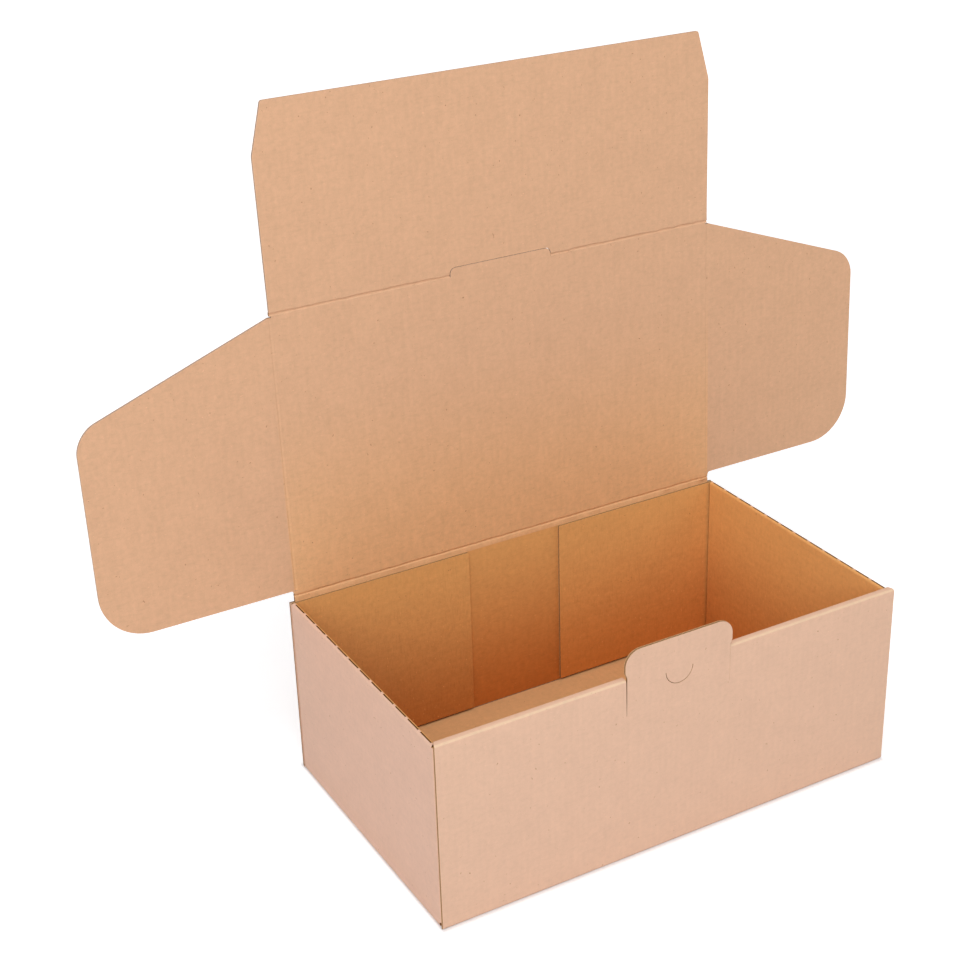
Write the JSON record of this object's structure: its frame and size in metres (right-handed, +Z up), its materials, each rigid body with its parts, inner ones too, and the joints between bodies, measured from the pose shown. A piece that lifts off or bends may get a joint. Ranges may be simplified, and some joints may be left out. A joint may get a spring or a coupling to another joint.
{
  "type": "corrugated mailer box",
  "caption": "Die-cut corrugated mailer box standing open, with a hinged lid, rounded side flaps, a tuck flap and a locking tongue in its front wall.",
  "frame": {"origin": "centre of the tray's underside", "axes": "+Z up, the front wall with its tongue faces -Y, the lid's hinge runs along X at +Y"},
  "size_m": [0.4382, 0.1584, 0.3399],
  "materials": {
    "board": "matt brown kraft liner with fine fibres"
  },
  "bodies": {
    "tray": {"tray": "board"},
    "lid": {"lid": "board"},
    "left_side_flap": {"left_side_flap": "board"},
    "right_side_flap": {"right_side_flap": "board"},
    "tuck_flap": {"tuck_flap": "board"}
  },
  "joints": [
    {"name": "lid_hinge", "type": "hinge", "parent": "tray", "child": "lid", "pos_m": [0, 0.07435, 0.09895], "axis": [1, 0, 0], "range_deg": [-88, 92]},
    {"name": "left_side_fold", "type": "hinge", "parent": "lid", "child": "left_side_flap", "pos_m": [-0.12225, 0.07686, 0.17091], "axis": [0, 0.0349, 0.9994], "range_deg": [0, 90]},
    {"name": "right_side_fold", "type": "hinge", "parent": "lid", "child": "right_side_flap", "pos_m": [0.12225, 0.07686, 0.17091], "axis": [0, -0.0349, -0.9994], "range_deg": [0, 90]},
    {"name": "tuck_fold", "type": "hinge", "parent": "lid", "child": "tuck_flap", "pos_m": [0, 0.07938, 0.24296], "axis": [1, 0, 0], "range_deg": [0, 90]}
  ]
}
